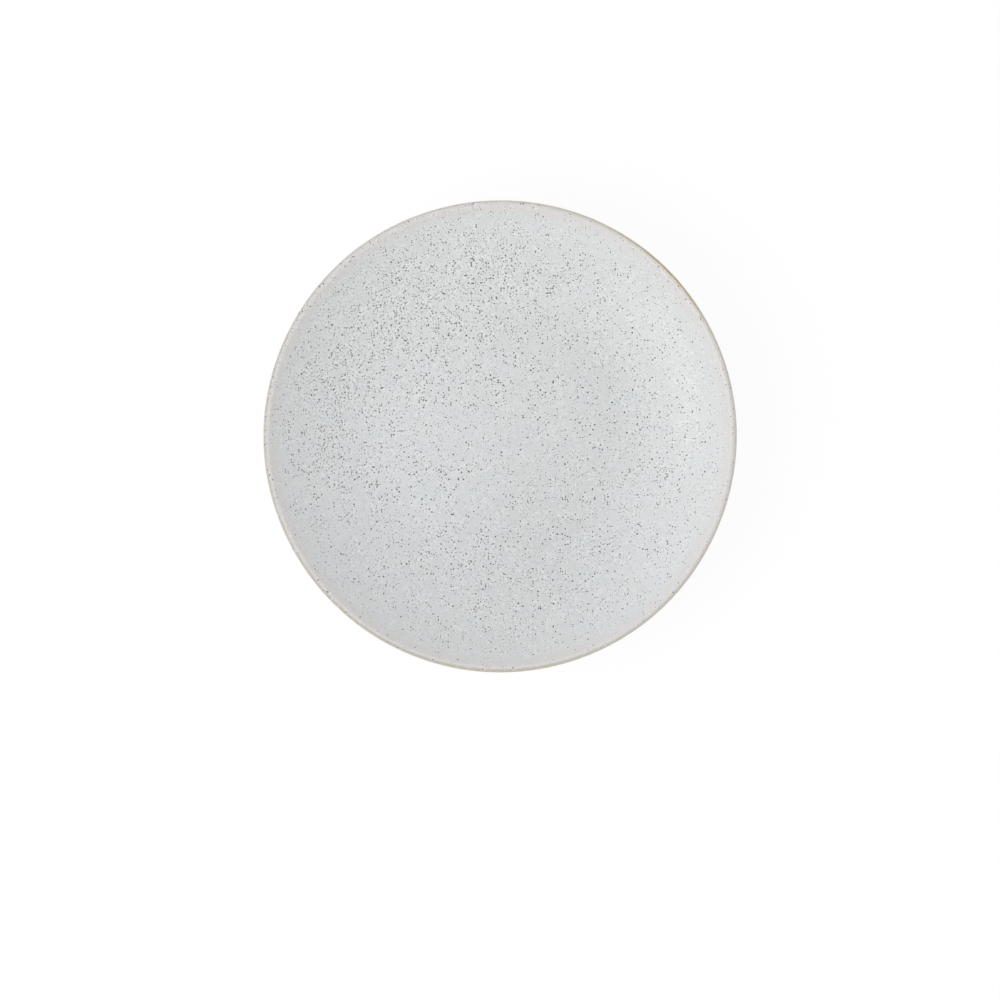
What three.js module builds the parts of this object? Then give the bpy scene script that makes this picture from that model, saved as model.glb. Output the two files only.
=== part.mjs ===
import * as THREE from "three";

// A deep coupe plate in speckled stoneware: one clay body with its foot ring, and the glaze coats on it.
// Millimetres, +Z up, the standing ring on z = 0 and the plate's axis on Z.

// Driving dimensions of the finished plate, glaze included.
const rimDiameter = 255;
const height = 37.5;
const lipThickness = 4;
const wallThickness = 4.8;
const floorThickness = 5.8;
const floorDiameter = 128;

// The foot ring is measured on the clay, since its standing face is bare.
const footDiameter = 156.4;
const footHeight = 7.9;
const footFaceWidth = 6;
const footEdgeRadius = 1;
const footFilletRadius = 9;
const recessDepth = 3.2;
const recessFilletRadius = 3;

// Slopes of the clay walls, in degrees from the table.
const footSlope = 52;
const recessSlope = 50;
const wallSlopeAtFoot = 17;
const wallSlopeAtLip = 52;

// How far the wall's curve is drawn along its slope at each end.
const wallReachAtFoot = 16;
const wallReachAtLip = 21;

// Glaze: its thickness, the bare clay left above the table, and how far below the top of the plate
// the thin band on the lip runs down the outside.
const glazeThickness = 0.5;
const glazeLineHeight = 0.8;
const rimBandDrop = 6;

// Facets.
const turnSteps = 56;
const wallSteps = 8;
const wellSteps = 4;
const bandSteps = 2;
const lipSteps = 9;
const filletSteps = 3;
const edgeSteps = 2;

const rad = THREE.MathUtils.degToRad;
const point = (r, z) => new THREE.Vector2(r, z);
const toward = (slope) => point(Math.cos(slope), Math.sin(slope));

// A round of the given radius between two straight runs that meet at the corner.
// The runs leave the corner along the two unit directions.
function roundedCorner(corner, back, ahead, radius, steps) {
  const halfAngle = Math.acos(THREE.MathUtils.clamp(back.dot(ahead), -1, 1)) / 2;
  const setback = radius / Math.tan(halfAngle);
  const middle = back.clone().add(ahead).normalize();
  const centre = corner.clone().addScaledVector(middle, radius / Math.sin(halfAngle));
  const from = corner.clone().addScaledVector(back, setback).sub(centre);
  const to = corner.clone().addScaledVector(ahead, setback).sub(centre);
  const turn = Math.atan2(from.cross(to), from.dot(to));
  const points = [];
  for (let i = 0; i <= steps; i += 1) {
    points.push(from.clone().rotateAround(point(0, 0), (turn * i) / steps).add(centre));
  }
  return points;
}

// Levels and radii of the clay that follow from the dimensions above.
const lipRadius = lipThickness / 2 - glazeThickness;
const lipCentre = point(
  rimDiameter / 2 - glazeThickness - lipRadius,
  height - glazeThickness - lipRadius,
);
const recessCeiling = recessDepth + glazeThickness;
const floorLevel = recessDepth + floorThickness - glazeThickness;
const clayLip = lipThickness - 2 * glazeThickness;
const clayWall = wallThickness - 2 * glazeThickness;

const footDirection = toward(rad(footSlope));
const recessDirection = toward(Math.PI - rad(recessSlope));
const wallStart = toward(rad(wallSlopeAtFoot));
const wallEnd = toward(rad(wallSlopeAtLip));

// Underside: the recess ceiling, the inner side of the foot ring, its standing face and its outer side.
const footOuter = point(footDiameter / 2, 0);
const footInner = point(footDiameter / 2 - footFaceWidth, 0);
const footTop = footOuter.clone().addScaledVector(footDirection, footHeight / footDirection.y);
const recessTop = footInner.clone().addScaledVector(recessDirection, recessCeiling / recessDirection.y);
const atHeight = (start, direction, z) => start.clone().addScaledVector(direction, z / direction.y);

const ceiling = [
  point(0, recessCeiling),
  ...roundedCorner(
    recessTop,
    point(-1, 0),
    recessDirection.clone().negate(),
    recessFilletRadius,
    filletSteps,
  ),
  atHeight(footInner, recessDirection, glazeLineHeight),
];
const standingRing = [
  ...roundedCorner(footInner, recessDirection, point(1, 0), footEdgeRadius, edgeSteps),
  ...roundedCorner(footOuter, point(-1, 0), footDirection, footEdgeRadius, edgeSteps),
];

// Outside: the foot's flank, its fillet and the rising wall up to the lip.
const fillet = roundedCorner(
  footTop,
  footDirection.clone().negate(),
  wallStart,
  footFilletRadius,
  filletSteps,
);
const wallFoot = fillet[fillet.length - 1];
const wallLip = lipCentre.clone().add(point(wallEnd.y, -wallEnd.x).multiplyScalar(lipRadius));
const wall = new THREE.CubicBezierCurve(
  wallFoot,
  wallFoot.clone().addScaledVector(wallStart, wallReachAtFoot),
  wallLip.clone().addScaledVector(wallEnd, -wallReachAtLip),
  wallLip,
);

// How far along the wall's curve a level is reached, as a share of the curve, found by halving.
function wallShareAt(level) {
  const halvings = 40;
  let below = 0;
  let above = 1;
  for (let i = 0; i < halvings; i += 1) {
    const middle = (below + above) / 2;
    if (wall.getPoint(middle).y < level) below = middle;
    else above = middle;
  }
  return above;
}
function wallBetween(from, to, steps) {
  const points = [];
  for (let i = 0; i <= steps; i += 1) {
    points.push(wall.getPoint(THREE.MathUtils.lerp(from, to, i / steps)));
  }
  return points;
}
const bandShare = wallShareAt(height - rimBandDrop);
const flank = [
  atHeight(footOuter, footDirection, glazeLineHeight),
  ...fillet,
  ...wallBetween(0, bandShare, wallSteps),
];

// The thin band: the top of the outside wall and the lip, which is a full round.
const lip = new THREE.EllipseCurve(
  lipCentre.x,
  lipCentre.y,
  lipRadius,
  lipRadius,
  rad(wallSlopeAtLip - 90),
  rad(wallSlopeAtLip + 90),
).getPoints(lipSteps);
const band = [...wallBetween(bandShare, 1, bandSteps), ...lip];

// Inside: the wall keeps its thickness to the outside one, then a curve runs down into the flat floor.
const innerWall = [];
for (let i = wallSteps - 1; i >= 0; i -= 1) {
  const t = i / wallSteps;
  const along = wall.getTangent(t);
  const thickness = THREE.MathUtils.lerp(clayWall, clayLip, t);
  innerWall.push(wall.getPoint(t).addScaledVector(point(-along.y, along.x), thickness));
}
const wellTop = innerWall[innerWall.length - 1];
const wellBend = point(
  wellTop.x - (wellTop.y - floorLevel) / Math.tan(rad(wallSlopeAtFoot)),
  floorLevel,
);
const well = new THREE.QuadraticBezierCurve(
  wellTop,
  wellBend,
  point(floorDiameter / 2, floorLevel),
).getPoints(wellSteps);

// The whole clay outline, from the axis under the plate round the lip to the axis on the floor.
// Each stretch starts on the last point of the one before it.
const outline = [];
function stretch(points) {
  const first = Math.max(outline.length - 1, 0);
  for (const p of points) {
    const last = outline[outline.length - 1];
    if (!last || last.distanceTo(p) > 1e-6) outline.push(p);
  }
  return { first, last: outline.length - 1 };
}
const baseStretch = stretch(ceiling);
stretch([...standingRing, flank[0]]);
const outsideStretch = stretch(flank);
const bandStretch = stretch(band);
const insideStretch = stretch([...innerWall, ...well, point(0, floorLevel)]);

// The outline moved outwards by the glaze thickness. At each point the two neighbouring runs are mitred,
// and on the axis the normal stays upright.
const sideOf = (a, b) => point(b.y - a.y, a.x - b.x).normalize();
const skin = outline.map((p, i) => {
  const before = i > 0 ? sideOf(outline[i - 1], p) : sideOf(p, outline[i + 1]);
  const after = i < outline.length - 1 ? sideOf(p, outline[i + 1]) : before;
  const normal = before.clone().add(after).normalize();
  return p.clone().addScaledVector(normal, glazeThickness / normal.dot(after));
});

// Closed outline of the coat over one stretch: glaze skin outside, clay surface inside.
function coat({ first, last }) {
  const outer = skin.slice(first, last + 1);
  const inner = outline.slice(first, last + 1).reverse();
  if (first === 0) return [...outer, ...inner];
  if (last === outline.length - 1) return [...inner, ...outer];
  return [...inner, ...outer, inner[0]];
}

const plate = new THREE.Group();
plate.name = "deep_plate";

function turned(name, profile, color, roughness) {
  const geometry = new THREE.LatheGeometry(profile, turnSteps).rotateX(Math.PI / 2);
  const material = new THREE.MeshStandardMaterial({ color, roughness });
  const mesh = new THREE.Mesh(geometry, material);
  mesh.name = name;
  plate.add(mesh);
}

// Fired stoneware body with its foot ring in one piece; only the standing ring stays bare.
turned("clay_body", outline, 0xc2ad90, 0.9);

// White speckled coat over the eating surface, up to the lip.
turned("inside_glaze", coat(insideStretch), 0xd3d6d5, 0.3);

// Honey coloured band where the coat runs thin over the lip and the top of the outside wall.
turned("rim_band", coat(bandStretch), 0xc3ab7c, 0.3);

// Cream speckled coat on the outside wall, from the band down the foot's flank to the glaze line.
turned("outside_glaze", coat(outsideStretch), 0xdcdad1, 0.35);

// Coat on the recess inside the foot ring.
turned("base_glaze", coat(baseStretch), 0xd6d3c8, 0.35);

export default plate;
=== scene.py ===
import bpy
import numpy as np
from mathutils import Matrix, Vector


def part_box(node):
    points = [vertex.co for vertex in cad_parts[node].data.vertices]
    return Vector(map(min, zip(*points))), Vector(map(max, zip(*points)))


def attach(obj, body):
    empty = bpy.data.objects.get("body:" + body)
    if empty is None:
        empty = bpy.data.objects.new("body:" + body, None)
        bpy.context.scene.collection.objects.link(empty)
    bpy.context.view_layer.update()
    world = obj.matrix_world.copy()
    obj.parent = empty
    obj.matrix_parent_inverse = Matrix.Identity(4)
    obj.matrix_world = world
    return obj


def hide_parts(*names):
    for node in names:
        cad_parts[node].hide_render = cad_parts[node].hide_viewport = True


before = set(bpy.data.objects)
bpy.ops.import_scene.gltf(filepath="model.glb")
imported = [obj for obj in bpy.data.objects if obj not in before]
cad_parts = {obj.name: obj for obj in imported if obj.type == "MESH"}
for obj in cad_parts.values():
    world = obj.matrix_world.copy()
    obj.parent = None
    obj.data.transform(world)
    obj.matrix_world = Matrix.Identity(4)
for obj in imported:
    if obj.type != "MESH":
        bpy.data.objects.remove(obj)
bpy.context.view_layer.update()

# The clay body: a deep coupe plate in buff stoneware, turned on a wheel with its foot ring in one piece.
# The fired rim is a little out of round and uneven in height, and only the standing ring stays bare.
# The outline below is in millimetres, as radius and height; meshes are in metres.
MM = 0.001
RIM_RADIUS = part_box("rim_band")[1].x / MM
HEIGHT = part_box("rim_band")[1].z / MM
GLAZE = RIM_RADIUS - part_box("clay_body")[1].x / MM
CLAY_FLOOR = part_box("inside_glaze")[0].z / MM
CLAY_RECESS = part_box("base_glaze")[1].z / MM
RIM_BAND_DROP = 6.0
LIP_THICKNESS = 4.0
WALL_THICKNESS = 4.8
FLOOR_RADIUS = 64.0
FOOT_RADIUS = 78.2
FOOT_FACE = 6.0
FOOT_HEIGHT = 7.9
FOOT_EDGE = 1.0
FOOT_FILLET = 9.0
RECESS_FILLET = 3.0
GLAZE_LINE = 0.8
FOOT_SLOPE = 52
RECESS_SLOPE = 50
WALL_SLOPE_AT_FOOT = 17
WALL_SLOPE_AT_LIP = 52
WALL_REACH_AT_FOOT = 16.0
WALL_REACH_AT_LIP = 21.0
RIM_ROUND = ((2, 0.18, 35), (3, 0.08, 120), (6, 0.06, 25))
RIM_RISE = ((1, 0.57, 205), (2, 0.29, 254), (3, 0.14, 239), (4, 0.18, 261))
WARP_EASE = 1.5
TURN_STEPS = 384
CEILING_STEPS = 20
RECESS_ROUND_STEPS = 10
RECESS_FLANK_STEPS = 6
FOOT_EDGE_STEPS = 6
FOOT_FLANK_STEPS = 10
FOOT_ROUND_STEPS = 14
WALL_STEPS = 64
LIP_STEPS = 48
WELL_STEPS = 20
FLOOR_STEPS = 24


def toward(degrees):
    """Unit direction at an angle in degrees from the first axis of a plane."""
    return np.array([np.cos(np.radians(degrees)), np.sin(np.radians(degrees))])


def straight(start, end, steps):
    """Evenly spaced points from start to end."""
    return np.linspace(start, end, steps + 1)


def eased(start, end, steps):
    """Points from start to end that lie close together at the start: the share along is squared."""
    share = np.linspace(0, 1, steps + 1)[:, None] ** 2
    return start + (end - start) * share


def arc(centre, radius, start, end, steps):
    """Points of a circle: its centre plus the radius along evenly spaced angles in degrees."""
    return np.asarray(centre) + radius * toward(np.linspace(start, end, steps + 1)).T


def bezier(corners, steps):
    """Points of a Bezier curve: each pass blends neighbouring corners by the share along the curve."""
    share = np.linspace(0, 1, steps + 1)[:, None]
    level = [np.asarray(corner, float)[None, :] for corner in corners]
    while len(level) > 1:
        level = [(1 - share) * a + share * b for a, b in zip(level, level[1:])]
    return level[0]


def rounded(corner, back, ahead, radius, steps):
    """A round between two straight runs that leave the corner along unit directions."""
    half = np.arccos(back @ ahead) / 2
    middle = (back + ahead) / np.linalg.norm(back + ahead)
    centre = corner + middle * radius / np.sin(half)
    first = corner + back * radius / np.tan(half) - centre
    last = corner + ahead * radius / np.tan(half) - centre
    start = np.degrees(np.arctan2(first[1], first[0]))
    turn = np.degrees(np.arctan2(first[0] * last[1] - first[1] * last[0], first @ last))
    return arc(centre, radius, start, start + turn, steps)


def lobes(terms, angle):
    """Sum of cosines round the plate, each with its count, size and angle in degrees."""
    return sum(size * np.cos(count * angle - np.radians(turn)) for count, size, turn in terms)


def fired(radius, height, angle):
    """Places in metres on the fired plate: the rim's lobes fade to nothing at the height of the foot."""
    share = np.clip((height - FOOT_HEIGHT) / (HEIGHT - FOOT_HEIGHT), 0, 1) ** WARP_EASE
    radius = radius + share * lobes(RIM_ROUND, angle)
    height = height + share * lobes(RIM_RISE, angle)
    return np.stack([radius * np.cos(angle), radius * np.sin(angle), height], axis=-1) * MM


outward = toward(0)
foot_outer = np.array([FOOT_RADIUS, 0])
foot_inner = np.array([FOOT_RADIUS - FOOT_FACE, 0])
foot_up = toward(FOOT_SLOPE)
recess_up = toward(180 - RECESS_SLOPE)
recess_top = foot_inner + recess_up * CLAY_RECESS / recess_up[1]
recess_line = foot_inner + recess_up * GLAZE_LINE / recess_up[1]
foot_top = foot_outer + foot_up * FOOT_HEIGHT / foot_up[1]
foot_line = foot_outer + foot_up * GLAZE_LINE / foot_up[1]
lip_radius = LIP_THICKNESS / 2 - GLAZE
lip_centre = np.array([RIM_RADIUS, HEIGHT]) - LIP_THICKNESS / 2

recess_round = rounded(recess_top, -outward, -recess_up, RECESS_FILLET, RECESS_ROUND_STEPS)
foot_round = rounded(foot_top, -foot_up, toward(WALL_SLOPE_AT_FOOT), FOOT_FILLET, FOOT_ROUND_STEPS)
wall_lip = lip_centre + lip_radius * toward(WALL_SLOPE_AT_LIP - 90)
wall = bezier(
    [
        foot_round[-1],
        foot_round[-1] + toward(WALL_SLOPE_AT_FOOT) * WALL_REACH_AT_FOOT,
        wall_lip - toward(WALL_SLOPE_AT_LIP) * WALL_REACH_AT_LIP,
        wall_lip,
    ],
    WALL_STEPS,
)
band_row = np.searchsorted(wall[:, 1], HEIGHT - RIM_BAND_DROP)
lip_round = arc(lip_centre, lip_radius, WALL_SLOPE_AT_LIP - 90, WALL_SLOPE_AT_LIP + 90, LIP_STEPS)
along = np.gradient(wall, axis=0)
along /= np.linalg.norm(along, axis=1)[:, None]
along[[0, -1]] = [toward(WALL_SLOPE_AT_FOOT), toward(WALL_SLOPE_AT_LIP)]
thickness = np.linspace(WALL_THICKNESS, LIP_THICKNESS, len(wall))[:, None] - 2 * GLAZE
inner_wall = (wall + np.stack([-along[:, 1], along[:, 0]], axis=1) * thickness)[::-1]
well_rise = inner_wall[-1, 1] - CLAY_FLOOR
well_bend = [inner_wall[-1, 0] - well_rise / np.tan(np.radians(WALL_SLOPE_AT_FOOT)), CLAY_FLOOR]
well = bezier([inner_wall[-1], well_bend, [FLOOR_RADIUS, CLAY_FLOOR]], WELL_STEPS)

stretches = {
    "recess": [
        straight([0, CLAY_RECESS], recess_round[0], CEILING_STEPS),
        recess_round,
        eased(recess_line, recess_round[-1], RECESS_FLANK_STEPS)[::-1],
    ],
    "standing_ring": [
        rounded(foot_inner, recess_up, outward, FOOT_EDGE, FOOT_EDGE_STEPS),
        rounded(foot_outer, -outward, foot_up, FOOT_EDGE, FOOT_EDGE_STEPS),
        foot_line[None, :],
    ],
    "flank": [
        eased(foot_line, foot_round[0], FOOT_FLANK_STEPS),
        foot_round,
        wall[:band_row + 1],
    ],
    "band": [wall[band_row:], lip_round],
    "inside": [inner_wall, well, straight(well[-1], [0, CLAY_FLOOR], FLOOR_STEPS)],
}
clay = np.zeros((0, 2))
reach = {}
for stretch, runs in stretches.items():
    first_row = max(len(clay) - 1, 0)
    for run in runs:
        joined = len(clay) > 0 and np.allclose(clay[-1], run[0])
        clay = np.vstack([clay, run[1:] if joined else run])
    reach[stretch] = (first_row, len(clay) - 1)

segments = np.diff(clay, axis=0)
spans = np.linalg.norm(segments, axis=1)
run_length = np.concatenate([[0], np.cumsum(spans)])
angles = np.linspace(0, 2 * np.pi, TURN_STEPS, endpoint=False)[None, :]
clay_places = fired(clay[:, :1], clay[:, 1:], angles)

# Under the glaze the clay needs fewer rows than where it is bare.
BACKING_STEP = 3
row_numbers = np.arange(len(clay))
in_ring = (row_numbers >= reach["standing_ring"][0]) & (row_numbers <= reach["standing_ring"][1])
ends = np.isin(row_numbers, [row for pair in reach.values() for row in pair])
backing = row_numbers[in_ring | ends | (row_numbers % BACKING_STEP == 0)]

POLE_LIMIT = 1e-9
MAP_CENTRE = 0.5
MAP_RADIUS = 0.49
CORNER_CENTRE = 0.07
CORNER_RADIUS = 0.06


def bake_rings(spread, low, high, in_view, widest):
    """Places on the bake map of each strip's four corners, at every step round the plate.

    A strip in view is a ring about the middle of the map, as wide as its rows' spread says. The hidden
    strips are even rings of a small disc in a corner.
    """
    hidden_rank = np.cumsum(~in_view)
    hidden_width = CORNER_RADIUS / max(hidden_rank[-1], 1)
    near = np.where(in_view, spread[low] * MAP_RADIUS / widest, (hidden_rank - 1) * hidden_width)
    far = np.where(in_view, spread[high] * MAP_RADIUS / widest, hidden_rank * hidden_width)
    distance = np.stack([near, near, far, far], axis=-1)[:, None, :, None]
    middle = np.where(in_view, MAP_CENTRE, CORNER_CENTRE)[:, None, None, None]
    step = np.arange(TURN_STEPS)
    turn = 2 * np.pi * np.stack([step, step + 1, step + 1, step], axis=-1) / TURN_STEPS
    return middle + distance * np.stack([np.cos(turn), np.sin(turn)], axis=-1)[None]


def by_vertex(rows, sizes):
    """Values for each row and angle as one list over the vertices, with a single one for a pole."""
    return np.concatenate([row[:size] for row, size in zip(rows, sizes)])


def turned(name, rows, shown, spread, marks):
    """A closed turned mesh through rows of rings, with neighbouring rows joined by a strip of quads.

    A row on the axis becomes one pole, joined by a fan; without poles the last row joins the first.
    The edges where a shown row meets a hidden one stay sharp. marks are values for each row and angle.
    """
    on_axis = np.hypot(rows[..., 0], rows[..., 1]).max(axis=1) < POLE_LIMIT
    sizes = np.where(on_axis, 1, TURN_STEPS)
    step = np.arange(TURN_STEPS)
    after = (step + 1) % TURN_STEPS
    numbers = (np.cumsum(sizes) - sizes)[:, None] + np.where(on_axis[:, None], 0, step)
    low = np.arange(len(rows) - 1 if on_axis.any() else len(rows))
    high = (low + 1) % len(rows)
    corners = np.stack(
        [numbers[low], numbers[low][:, after], numbers[high][:, after], numbers[high]],
        axis=-1,
    )
    used = np.ones((len(low), 4), bool)
    used[on_axis[low], 1] = False
    used[on_axis[high], 3] = False
    used_corners = np.repeat(used[:, None, :], TURN_STEPS, axis=1)

    mesh = bpy.data.meshes.new(name)
    mesh.vertices.add(sizes.sum())
    mesh.vertices.foreach_set("co", by_vertex(rows, sizes).ravel())
    face_sizes = np.repeat(used.sum(axis=1), TURN_STEPS)
    mesh.loops.add(face_sizes.sum())
    mesh.loops.foreach_set("vertex_index", corners[used_corners])
    mesh.polygons.add(len(face_sizes))
    mesh.polygons.foreach_set("loop_start", np.cumsum(face_sizes) - face_sizes)
    mesh.update(calc_edges=True)

    cut = shown[low] != shown[high]
    cut_rows = np.concatenate([low[cut], high[cut]])
    edge_ends = np.zeros(2 * len(mesh.edges), int)
    mesh.edges.foreach_get("vertices", edge_ends)
    edge_rows = np.repeat(np.arange(len(rows)), sizes)[edge_ends.reshape(-1, 2)]
    on_ring = edge_rows[:, 0] == edge_rows[:, 1]
    mesh.edges.foreach_set("use_edge_sharp", on_ring & np.isin(edge_rows[:, 0], cut_rows))

    flat = bake_rings(spread, low, high, shown[low] & shown[high], spread[shown].max())
    mesh.uv_layers.new(name="OFBake").data.foreach_set("uv", flat[used_corners].ravel())
    for mark, values in marks.items():
        attribute = mesh.attributes.new(mark, "FLOAT", "POINT")
        attribute.data.foreach_set("value", by_vertex(values, sizes))
    mesh.validate()
    piece = bpy.data.objects.new(name, mesh)
    bpy.context.collection.objects.link(piece)
    return piece


# The power that makes most grains small, a halo's reach in millimetres, and its fade at a cell's border.
GRAIN_BIAS = 1.5
HALO_REACH = 0.66
HALO_BORDER = 0.14


class Shade:
    """A socket among a material's nodes: arithmetic on it adds Math nodes, and node() adds any other."""

    def __init__(self, tree, socket=None):
        self.tree = tree
        self.socket = socket

    def node(self, kind, settings, inputs):
        """A node of any kind: its settings come first, then its sockets' values or links."""
        node = self.tree.nodes.new(kind)
        for name, setting in settings.items():
            setattr(node, name, setting)
        sockets = {socket.identifier: socket for socket in node.inputs}
        for identifier, value in inputs.items():
            if isinstance(value, Shade):
                self.tree.links.new(value.socket, sockets[identifier])
            else:
                sockets[identifier].default_value = value
        return Shade(self.tree, node.outputs[0] if node.outputs else None)

    def out(self, identifier):
        """Another output of the same node."""
        outputs = {socket.identifier: socket for socket in self.socket.node.outputs}
        return Shade(self.tree, outputs[identifier])

    def maths(self, operation, first, second):
        """A Math node on two values."""
        return self.node("ShaderNodeMath", {"operation": operation}, {"Value": first, "Value_001": second})

    def __add__(self, other):
        return self.maths("ADD", self, other)

    def __sub__(self, other):
        return self.maths("SUBTRACT", self, other)

    def __rsub__(self, other):
        return self.maths("SUBTRACT", other, self)

    def __mul__(self, other):
        return self.maths("MULTIPLY", self, other)

    def __truediv__(self, other):
        return self.maths("DIVIDE", self, other)

    def __pow__(self, other):
        return self.maths("POWER", self, other)

    def __abs__(self):
        return self.node("ShaderNodeMath", {"operation": "ABSOLUTE"}, {"Value": self})

    def __lt__(self, other):
        return self.maths("LESS_THAN", self, other)

    __radd__ = __add__
    __rmul__ = __mul__

    def ramp(self, low, high):
        """0 at low and before it, 1 at high and past it, with a smooth rise between."""
        ends = {"Value": self, "From Min": low, "From Max": high}
        return self.node("ShaderNodeMapRange", {"interpolation_type": "SMOOTHSTEP"}, ends)

    def within(self, rises, strength):
        """The strength times a ramp over each of the rises, so 0 where any of them hasn't started."""
        for low, high in rises:
            strength = self.ramp(low, high) * strength
        return strength

    def spread(self, low, high):
        """This value from 0 to 1 laid out from low to high."""
        return low + self * (high - low)

    def blend(self, first, second):
        """The first colour where this value is 0, and the second where it is 1."""
        ends = {"Factor_Float": self, "A_Color": first, "B_Color": second}
        return self.node("ShaderNodeMix", {"data_type": "RGBA"}, ends).out("Result_Color")

    def overlaid(self, tint, strength):
        """This colour under a tint: darker where the tint is dark, and lighter where it is light."""
        layers = {"Factor_Float": strength, "A_Color": self, "B_Color": tint}
        overlay = {"data_type": "RGBA", "blend_type": "OVERLAY"}
        return self.node("ShaderNodeMix", overlay, layers).out("Result_Color")

    def moved(self, offset):
        """This vector plus another."""
        return self.node("ShaderNodeVectorMath", {"operation": "ADD"}, {"Vector": self, "Vector_001": offset})

    def scaled(self, factor):
        """This vector times a number."""
        return self.node("ShaderNodeVectorMath", {"operation": "SCALE"}, {"Vector": self, "Scale": factor})

    def cloud(self, period, detail=2.0):
        """Noise from 0 to 1 at this place, with features about one period across."""
        return self.node("ShaderNodeTexNoise", {}, {"Vector": self, "Scale": 1 / period, "Detail": detail})

    def mark(self, name):
        """A value that the mesh holds at each vertex."""
        return self.node("ShaderNodeAttribute", {"attribute_name": name}, {}).out("Fac")

    def grains(self, cell, least, most, share, edge):
        """Round grains strewn through space around this place, in millimetres.

        Each cell's random colour says whether its grain exists, how large it is and how dark, with more
        small grains than large ones. A grain covers what lies nearer to its centre than its radius, and
        a halo fades out around it before the cell ends. Returns the cover, the darkness and the halo.
        """
        spacing = {"Vector": self, "Scale": 1 / cell}
        cells = self.node("ShaderNodeTexVoronoi", {}, spacing)
        border = self.node("ShaderNodeTexVoronoi", {"feature": "DISTANCE_TO_EDGE"}, spacing)
        chance = self.node("ShaderNodeSeparateColor", {}, {"Color": cells.out("Color")})
        there = chance.out("Red") < share
        beyond = cells * cell - (chance.out("Green") ** GRAIN_BIAS).spread(least, most)
        halo = there * border.ramp(0, HALO_BORDER) * beyond.ramp(HALO_REACH, 0)
        return there * beyond.ramp(edge, -edge), chance.out("Blue"), halo


def tone(red, green, blue):
    """The shader colour of an sRGB triple from 0 to 255, by the sRGB curve."""
    share = np.array([red, green, blue]) / 255
    linear = np.where(share <= 0.04045, share / 12.92, ((share + 0.055) / 1.055) ** 2.4)
    return (*linear.tolist(), 1.0)


def new_finish(name):
    """A new material, its shader, and the place on the piece in millimetres."""
    material = bpy.data.materials.new(name)
    material.use_nodes = True
    shader = material.node_tree.nodes["Principled BSDF"]
    place = Shade(material.node_tree).node("ShaderNodeTexCoord", {}, {}).out("Object").scaled(1 / MM)
    return material, shader, place


def connect(shader, **values):
    """Links values to the shader's sockets, named with underscores for spaces."""
    for name, value in values.items():
        value.tree.links.new(value.socket, shader.inputs[name.replace("_", " ")])


BUFF = tone(208, 202, 190)
BUFF_DARK = tone(192, 184, 168)
IRON = tone(96, 78, 62)
GROG_PATCH = 0.9
GROG_DETAIL = 3.0
GROG_RISE = (0.35, 0.75)
GRIT = {"cell": 1.6, "least": 0.1, "most": 0.35, "share": 0.35, "edge": 0.06}
GRIT_COVER = (0.4, 0.9)
CLAY_ROUGHNESS = (0.78, 0.93)
CLAY_GRAIN_STRENGTH = 0.5
CLAY_GRAIN_DEPTH = 0.15 * MM
bare_clay, clay_shader, clay_place = new_finish("bare_stoneware")
grog = clay_place.cloud(GROG_PATCH, GROG_DETAIL)
clay_colour = grog.ramp(*GROG_RISE).blend(BUFF, BUFF_DARK)
grit, grit_darkness, _ = clay_place.grains(**GRIT)
clay_grain = {"Strength": CLAY_GRAIN_STRENGTH, "Distance": CLAY_GRAIN_DEPTH, "Height": grog}
connect(
    clay_shader,
    Base_Color=(grit * grit_darkness.spread(*GRIT_COVER)).blend(clay_colour, IRON),
    Roughness=grog.spread(*CLAY_ROUGHNESS),
    Normal=grog.node("ShaderNodeBump", {}, clay_grain),
)

clay_body = turned("turned_clay_body", clay_places[backing], in_ring[backing], run_length[backing], {})
clay_body.data.materials.append(bare_clay)
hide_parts("clay_body")
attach(clay_body, "root")

# The glaze in the recess under the plate: a cream coat like the outside one, poured and wiped off the ring.
# It is fired onto the clay at an even thickness and thins to nothing in a round bead at the bare ring.
GLAZE_BEAD = 0.8
RELIEF_FADE = 30.0
RING_WAVE = 1.9
RING_TURN = 0.4
RING_DEPTH = 0.008
SWELL_WAVES = (7.5, 11.0)
SWELL_COUNTS = (3, 5)
SWELL_DEPTH = 0.03


def ripple(run, radius, angle):
    """Millimetres of faint relief in the glaze: wheel rings that drift with the angle, and slow swells.

    Both are cosines of the run along the outline. The drift and the swells fade out towards the axis.
    """
    away = np.clip(radius / RELIEF_FADE, 0, 1)
    rings = np.cos(run / RING_WAVE + away * np.cos(angle + RING_TURN))
    leaning_back = np.cos(run / SWELL_WAVES[0] - SWELL_COUNTS[0] * angle)
    leaning_ahead = np.cos(run / SWELL_WAVES[1] + SWELL_COUNTS[1] * angle)
    return RING_DEPTH * rings + SWELL_DEPTH * (away * leaning_back * leaning_ahead)


directions = segments / spans[:, None]
tangents = np.vstack([directions[:1], directions[:-1] + directions[1:], directions[-1:]])
tangents /= np.linalg.norm(tangents, axis=1)[:, None]
normals = np.stack([tangents[:, 1], -tangents[:, 0]], axis=1)
bare_start, bare_end = run_length[list(reach["standing_ring"])]
cover = np.clip(np.maximum(bare_start - run_length, run_length - bare_end) / GLAZE_BEAD, 0, 1)
skin = clay + normals * (GLAZE * np.sqrt(1 - (1 - cover) ** 2))[:, None]
raised = ripple(run_length[:, None], skin[:, :1], angles) * cover[:, None]
skin_radius = skin[:, :1] + normals[:, :1] * raised
skin_height = skin[:, 1:] + normals[:, 1:] * raised
skin_places = fired(skin_radius, skin_height, angles)

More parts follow.
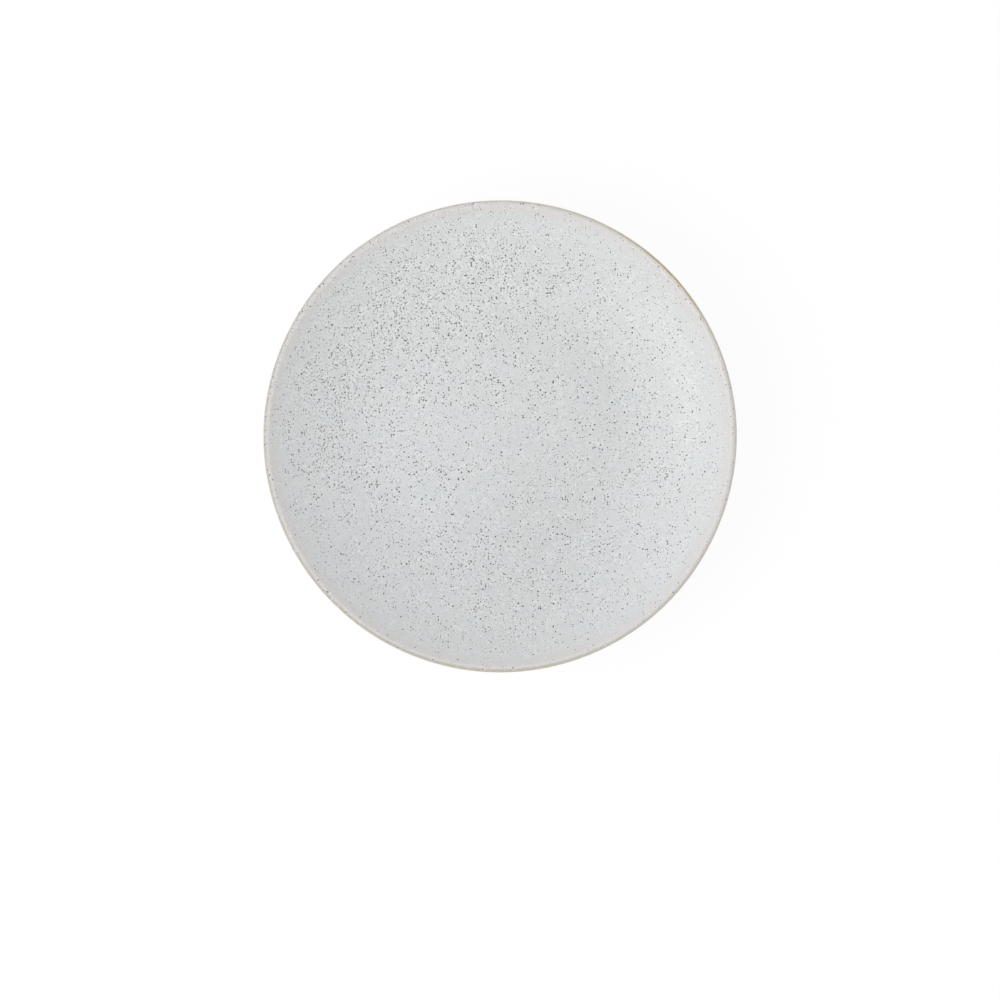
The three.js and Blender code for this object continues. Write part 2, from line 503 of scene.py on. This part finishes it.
# Tints, lines and specks are laid out by the run from the plate's widest point, in millimetres and
# positive on the inside, by the angle round the plate, and in hills seen from above.
# The rim's dark edge line is thin glaze over the clay; its lobe makes it stronger on the side the soft light
# comes from, as painted shade.
EDGE_LINE_STRENGTH = 0.4
EDGE_SHADE_LOBES = ((1, 0.25, 215),)
EDGE_LINE_LEVEL = 1.15
EDGE_LINE_SAG = ((1, 0.3, 250),)
HONEY_PATCHES = ((272, 16, 0.8), (310, 30, 0.45), (45, 12, 0.65), (45, 55, 0.3))
HONEY_LEVEL = 1.2
HONEY_SAG = ((290, 70, -1.0),)
BLUSH_PATCHES = ((300, 50, 0.55),)
SPECK_RUN = (-60, -45, -10, -1, 0.5, 2.5, 4, 8, 12, 17, 24, 32, 42)
SPECK_SHARE = (0.24, 0.2, 0.16, 0.2, 0.4, 0.4, 0.18, 0.25, 0.42, 0.5, 0.62, 0.78, 0.95)
SPECK_DRIFT = ((-9, 108, 31, 1.1), (-69, 83, 31, 1.1), (-104, 28, 31, 1.1))
# Painted shade and light inside: a grey film, thickest in a hill low on the floor and thinner in hills where
# the inside is lighter.
SHADE_VEIL_BASE = 0.35
SHADE_VEIL_HILLS = ((16, -62, 34, 0.6), (-30, 50, 40, -0.3), (-88, -18, 34, -0.25), (88, -50, 32, -0.25))
COOL_HILLS = ((-55, -30, 50, 0.27), (85, -75, 38, 0.22))


def bumps(terms, angle):
    """Sum of bell-shaped bumps round the plate, each with its angle, width in degrees and height."""
    total = np.zeros(angle.shape)
    for centre, width, height in terms:
        apart = (np.degrees(angle) - centre + 180) % 360 - 180
        total = total + height * np.exp(-((apart / width) ** 2))
    return total


def hills(terms, x, y):
    """Sum of round bell-shaped hills seen from above, each with its centre, spread and height."""
    total = np.zeros(x.shape)
    for east, north, spread, height in terms:
        away = ((x - east) ** 2 + (y - north) ** 2) / spread ** 2
        total = total + height * np.exp(-away / 2)
    return total


lip_run = run_length - run_length[np.argmax(skin[:, 0])]
skin_x = skin[:, :1] * np.cos(angles)
skin_y = skin[:, :1] * np.sin(angles)
drift = hills(SPECK_DRIFT, skin_x, skin_y) * (lip_run[:, None] > 0)
coat_marks = {
    "lip": np.repeat(lip_run[:, None], TURN_STEPS, axis=1),
    "edge_and_shade": np.repeat(EDGE_LINE_STRENGTH + lobes(EDGE_SHADE_LOBES, angles), len(clay), axis=0),
    "edge_and_shade_line": lip_run[:, None] - EDGE_LINE_LEVEL - lobes(EDGE_LINE_SAG, angles),
    "honey": np.repeat(bumps(HONEY_PATCHES, angles), len(clay), axis=0),
    "honey_line": lip_run[:, None] - HONEY_LEVEL - bumps(HONEY_SAG, angles),
    "blush": np.repeat(bumps(BLUSH_PATCHES, angles), len(clay), axis=0),
    "speckle": np.interp(lip_run, SPECK_RUN, SPECK_SHARE)[:, None] * (1 + drift),
    "shade_veil": SHADE_VEIL_BASE + hills(SHADE_VEIL_HILLS, skin_x, skin_y),
    "cool": hills(COOL_HILLS, skin_x, skin_y),
}


def coat(name, stretch):
    """A coat of glaze over one stretch of the outline: its skin, and the clay behind it the other way.

    A coat that ends on the axis also starts there, with its clay side first.
    """
    first, last = reach[stretch]
    own = np.arange(first, last + 1)
    behind = backing[(backing >= first) & (backing <= last) & (cover[backing] > 0)][::-1]
    sides = [(own, skin_places, True), (behind, clay_places, False)]
    spread = run_length
    if last == len(clay) - 1:
        sides.reverse()
        spread = run_length[-1] - run_length
    order = np.concatenate([rows for rows, _, _ in sides])
    places = np.concatenate([places[rows] for rows, places, _ in sides])
    shown = np.concatenate([np.full(len(rows), outermost) for rows, _, outermost in sides])
    marks = {mark: values[order] for mark, values in coat_marks.items()}
    return turned(name, places, shown, spread[order], marks)


# Warmer cream towards the foot: partly the glaze's own tone, partly painted warm light bounced up from below.
WARM_AND_BOUNCE = tone(214, 212, 199)
# Painted shade on the lower outside wall, deepening towards the foot.
LOW_WALL_SHADE = tone(200, 201, 190)
# Painted shade in the hollow above the foot.
FILLET_SHADE = tone(200, 197, 181)
PINK = tone(216, 208, 204)
BLUSH = tone(188, 174, 156)
# The dark edge line's colour: partly thin glaze over clay, partly painted shade.
EDGE_LINE_AND_SHADE = tone(153, 147, 129)
HONEY = tone(180, 151, 84)
SPECK = tone(16, 17, 15)
RUST = tone(106, 96, 82)
MILK = tone(240, 242, 242)
# The grey of the painted shade inside.
SHADE_VEIL = tone(208, 210, 210)
COOL = tone(216, 218, 225)

# A rise goes from where a tint starts to where it is full, along the run from the widest point.
# The foot tints are painted warm bounce light and painted shade; each has its colour, strength and rises, and
# a rim line its marks' name, half width and colour.
OUTSIDE_RISE = (3.5, -1.5)
FOOT_SHADES_AND_TINTS = (
    (WARM_AND_BOUNCE, 0.85, ((-20, -54),)),
    (LOW_WALL_SHADE, 0.7, ((-56, -52), (-26, -48))),
    (FILLET_SHADE, 0.6, ((-54.5, -51), (-45, -49))),
)
THIN_STRENGTH = 0.45
THIN_RISES = ((-4.5, -0.4), (13.0, 4.0))
BLUSH_RISES = ((-5.5, -2.0), (0.2, -0.6))
RIM_LINES = (("edge_and_shade", 1.1, EDGE_LINE_AND_SHADE), ("honey", 0.9, HONEY))
WANDER_PATCH = 9.0
RIM_WANDER = 1.6
LINE_WANDER = 0.4
UNEVEN_PATCH = 5.0
UNEVEN_STRENGTH = (0.75, 1.25)
TINT_PATCH = 15.0
TINT_DETAIL = 1.5
TINT_STRENGTH = 0.05
MILK_PATCH = 3.5
MILK_DETAIL = 3.0
MILK_RISE = (0.5, 0.85)
MILK_STRENGTH = (0.25, 0.08)

# The specks: smudges under the surface, fine ones and bold ones. Each family has its cell, its least and
# most radius, the share of cells with a speck, its soft edge, and its faintest and darkest cover.
SPECK_FAMILIES = (
    (1.6, 0.23, 0.9, 0.04, 0.25, 0.03, 0.11),
    (0.65, 0.118, 0.28, 0.42, 0.03, 0.75, 1.0),
    (1.35, 0.3, 0.49, 0.35, 0.03, 0.92, 1.0),
)
FAMILY_SHIFT = np.array([5.3, 8.1, 2.7])
HALO_STRENGTH = 0.7
JITTER_PATCH = 0.4
JITTER_REACH = 0.25
GATHER_PATCH = 6.5
GATHER_RISE = (0.3, 0.72)
GATHER_SHARE = (0.35, 1.65)
PEEL_PATCH = 2.2
PEEL_FINE_PATCH = 0.6
PEEL_FINE_SHARE = 0.3
PEEL_STRENGTH = 0.25
PEEL_DEPTH = 0.06 * MM
PIT_DEPTH = 0.3
PIT_ROUGHNESS = 0.1
SATIN_PATCH = 6.0
SATIN_ROUGHNESS = (0.26, 0.4)


def speckled_glaze(name, inner, outer):
    """Satin stoneware glaze: a milky ground with faint tints, iron specks, and a thin rim.

    The ground goes from the inner to the outer colour over the lip. Inside, a grey film of painted shade and
    light, darker low on the floor and lighter in patches, and a cool tint lie on it in broad hills. Outside
    it turns warmer towards the foot, partly as painted warm bounce light, and painted shade darkens the lower
    wall and the hollow above the foot. Where the coat thins on the lip it turns pink, blushes below the
    widest point, and shows a dark edge line, darker on the lit side as painted shade, and a honey line above
    it.
    Specks come in three families, gather in loose clusters, and are rusty outside.
    """
    material, shader, place = new_finish(name)
    lip = place.mark("lip")
    outside = lip.ramp(*OUTSIDE_RISE)
    # Painted shade and light: the grey film over the inside colour.
    shade_veiled = place.mark("shade_veil").blend(inner, SHADE_VEIL)
    cooled = place.mark("cool").blend(shade_veiled, COOL)
    ground = outside.blend(cooled, outer)
    # Painted warm bounce light and painted shade towards the foot.
    for tint, strength, rises in FOOT_SHADES_AND_TINTS:
        ground = lip.within(rises, strength).blend(ground, tint)
    ground = ground.overlaid(place.cloud(TINT_PATCH, TINT_DETAIL).out("Color"), TINT_STRENGTH)
    milk = place.cloud(MILK_PATCH, MILK_DETAIL).ramp(*MILK_RISE)
    ground = (milk * outside.spread(*MILK_STRENGTH)).blend(ground, MILK)

    wander = place.cloud(WANDER_PATCH) - 0.5
    rim = lip + RIM_WANDER * wander
    ground = rim.within(THIN_RISES, THIN_STRENGTH).blend(ground, PINK)
    ground = rim.within(BLUSH_RISES, place.mark("blush")).blend(ground, BLUSH)
    uneven = place.cloud(UNEVEN_PATCH).spread(*UNEVEN_STRENGTH)
    # The dark edge line, partly painted shade, and the honey line.
    for mark, width, colour in RIM_LINES:
        across = (place.mark(mark + "_line") + LINE_WANDER * wander) / width
        line = (1 - across * across).ramp(0, 1)
        ground = (line * place.mark(mark) * uneven).blend(ground, colour)

    strewn = place.moved(place.cloud(JITTER_PATCH).out("Color").scaled(JITTER_REACH))
    gather = place.cloud(GATHER_PATCH).ramp(*GATHER_RISE).spread(*GATHER_SHARE)
    share = place.mark("speckle") * gather
    speck = outside.blend(SPECK, RUST)
    for number, (cell, least, most, chance, edge, faintest, darkest) in enumerate(SPECK_FAMILIES):
        apart = strewn.moved(tuple(number * FAMILY_SHIFT))
        grain, depth, halo = apart.grains(cell, least, most, chance * share, edge)
        ground = (halo * (1 - outside) * (HALO_STRENGTH * darkest)).blend(ground, MILK)
        ground = (grain * depth.spread(faintest, darkest)).blend(ground, speck)

    # The bold specks, the last family, lie in small rough pits.
    peel = place.cloud(PEEL_PATCH) + PEEL_FINE_SHARE * place.cloud(PEEL_FINE_PATCH) - PIT_DEPTH * grain
    relief = {"Strength": PEEL_STRENGTH, "Distance": PEEL_DEPTH, "Height": peel}
    connect(
        shader,
        Base_Color=ground,
        Roughness=place.cloud(SATIN_PATCH).spread(*SATIN_ROUGHNESS) + PIT_ROUGHNESS * grain,
        Normal=peel.node("ShaderNodeBump", {}, relief),
    )
    return material


BASE_CREAM = tone(216, 214, 205)
base_glaze = coat("recess_glaze", "recess")
base_glaze.data.materials.append(speckled_glaze("recess_cream_glaze", BASE_CREAM, BASE_CREAM))
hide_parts("base_glaze")
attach(base_glaze, "root")

# The outside glaze: a cream coat over the wall and the flank of the foot, with few and paler specks.
# It is dipped and fired onto the clay. Towards the foot it turns warmer, partly as painted warm bounce light,
# and painted shade darkens the lower wall and the hollow above the foot.
CREAM = tone(207, 208, 202)
outside_glaze = coat("outside_wall_glaze", "flank")
outside_glaze.data.materials.append(speckled_glaze("outside_cream_glaze", CREAM, CREAM))
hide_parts("outside_glaze")
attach(outside_glaze, "root")

# The inside glaze: a cool white coat on the whole eating surface, thick with dark iron specks.
# It is poured and fired onto the clay and meets the thin band at the inner edge of the lip.
WHITE = tone(219, 221, 221)
inside_glaze = coat("inside_speckled_glaze", "inside")
inside_glaze.data.materials.append(speckled_glaze("inside_white_glaze", WHITE, WHITE))
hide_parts("inside_glaze")
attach(inside_glaze, "root")

# The rim band: the same glaze where it runs thin over the round lip and shows the clay through.
# White inside and cream outside meet on it, pink where it is thin and honey along the thinnest line.
rim_band = coat("thin_rim_band", "band")
rim_band.data.materials.append(speckled_glaze("thin_rim_glaze", WHITE, CREAM))
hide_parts("rim_band")
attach(rim_band, "root")

# The studio: a white acrylic table lit from below, a white sky that is brighter near the horizon, and one
# large soft light on the left, a little in front. The table sheds more light on its left than on its right.
# It looks white to the camera, and the plate's soft shadow stays on it.
TABLE_HALF = 4.0
TABLE_WHITE = tone(245, 245, 245)
TABLE_GLOW = 0.6
TABLE_GLOW_SEEN = 0.85
TABLE_LEVEL = 1.03
TABLE_LEAN = 0.165
TABLE_LEAN_REACH = 0.09
PURE_WHITE = tone(255, 255, 255)


def seen(shade):
    """1 on rays that show the studio, straight or by gloss or glass, and 0 on those that light the plate."""
    rays = shade.node("ShaderNodeLightPath", {}, {})
    return rays.out("Is Camera Ray") + rays.out("Is Glossy Ray") + rays.out("Is Transmission Ray")


table_mesh = bpy.data.meshes.new("studio_table")
table_corners = [(-1, -1, 0), (1, -1, 0), (1, 1, 0), (-1, 1, 0)]
table_mesh.from_pydata(np.array(table_corners) * TABLE_HALF, [], [(0, 1, 2, 3)])
table = bpy.data.objects.new("studio_table", table_mesh)
bpy.context.collection.objects.link(table)
acrylic = bpy.data.materials.new("studio_acrylic")
acrylic.use_nodes = True
table_mesh.materials.append(acrylic)
sheet = Shade(acrylic.node_tree)
matt = sheet.node("ShaderNodeBsdfDiffuse", {}, {"Color": TABLE_WHITE})
table_seen = seen(sheet)
spot = sheet.node("ShaderNodeTexCoord", {}, {}).out("Object")
across = sheet.node("ShaderNodeSeparateXYZ", {}, {"Vector": spot}).ramp(TABLE_LEAN_REACH, -TABLE_LEAN_REACH)
level = TABLE_LEVEL * (1 + (1 - table_seen) * across.spread(-TABLE_LEAN, TABLE_LEAN))
lit = sheet.node("ShaderNodeEmission", {}, {"Color": PURE_WHITE, "Strength": level})
glow = table_seen.spread(TABLE_GLOW, TABLE_GLOW_SEEN)
look = sheet.node("ShaderNodeMixShader", {}, {"Fac": glow, "Shader": matt, "Shader_001": lit})
table_output = acrylic.node_tree.nodes["Material Output"]
acrylic.node_tree.links.new(look.socket, table_output.inputs["Surface"])

# On a flat table the sky, its glow at the horizon included, gives all the light that the soft light leaves.
KEY_SHARE = 0.215
KEY_ANGLE = 200
KEY_RISE = 42
KEY_DISTANCE = 1.8
KEY_SIZE = 1.3
HORIZON_GLOW = 1.9
HORIZON_FALL = 5
glow_share = 2 * HORIZON_GLOW / ((HORIZON_FALL + 1) * (HORIZON_FALL + 2))
SKY = (1 - KEY_SHARE) / (1 + glow_share)
world = bpy.data.worlds.new("studio_sky")
bpy.context.scene.world = world
world.use_nodes = True
sky = Shade(world.node_tree)
ray = sky.node("ShaderNodeTexCoord", {}, {}).out("Generated")
axes = sky.node("ShaderNodeSeparateXYZ", {}, {"Vector": ray})
strength = SKY * (1 + HORIZON_GLOW * (1 - abs(axes.out("Z"))) ** HORIZON_FALL)
sky_light = sky.node("ShaderNodeBackground", {}, {"Color": PURE_WHITE, "Strength": strength})
sky_white = sky.node("ShaderNodeBackground", {}, {"Color": PURE_WHITE, "Strength": 1.0})
sky_sides = {"Fac": seen(sky), "Shader": sky_light, "Shader_001": sky_white}
sky_look = sky.node("ShaderNodeMixShader", {}, sky_sides)
world_output = world.node_tree.nodes["World Output"]
world.node_tree.links.new(sky_look.socket, world_output.inputs["Surface"])

key_light = bpy.data.lights.new("left_soft_box", "AREA")
key_light.shape = "SQUARE"
key_light.size = KEY_SIZE
key_light.energy = KEY_SHARE * np.pi ** 2 * KEY_DISTANCE ** 2 / np.sin(np.radians(KEY_RISE))
key = bpy.data.objects.new("left_soft_box", key_light)
key_flat, key_up = toward(KEY_RISE)
key.location = KEY_DISTANCE * np.array([*(key_flat * toward(KEY_ANGLE)), key_up])
key.rotation_euler = (0, np.radians(90 - KEY_RISE), np.radians(KEY_ANGLE))
bpy.context.collection.objects.link(key)

# The camera: straight above the plate with a long lens, placed by where the plate lies in the picture.
# The picture is square, and its pixels are measured where the plate is widest.
PICTURE = 1000
PLATE_CENTRE_PIXEL = (500.17, 436.25)
PLATE_RADIUS_PIXELS = 236.4
CAMERA_HEIGHT = 3.0
SENSOR_WIDTH = 36
lip_level = (HEIGHT - LIP_THICKNESS / 2) * MM
pixels_per_metre = PLATE_RADIUS_PIXELS / (RIM_RADIUS * MM)
camera_data = bpy.data.cameras.new("camera_above")
camera_data.sensor_width = SENSOR_WIDTH
camera_data.lens = SENSOR_WIDTH * pixels_per_metre * (CAMERA_HEIGHT - lip_level) / PICTURE
camera = bpy.data.objects.new("camera_above", camera_data)
camera.location = (
    (PICTURE / 2 - PLATE_CENTRE_PIXEL[0]) / pixels_per_metre,
    (PLATE_CENTRE_PIXEL[1] - PICTURE / 2) / pixels_per_metre,
    CAMERA_HEIGHT,
)
bpy.context.collection.objects.link(camera)
bpy.context.scene.camera = camera
bpy.context.scene.view_settings.view_transform = "Standard"
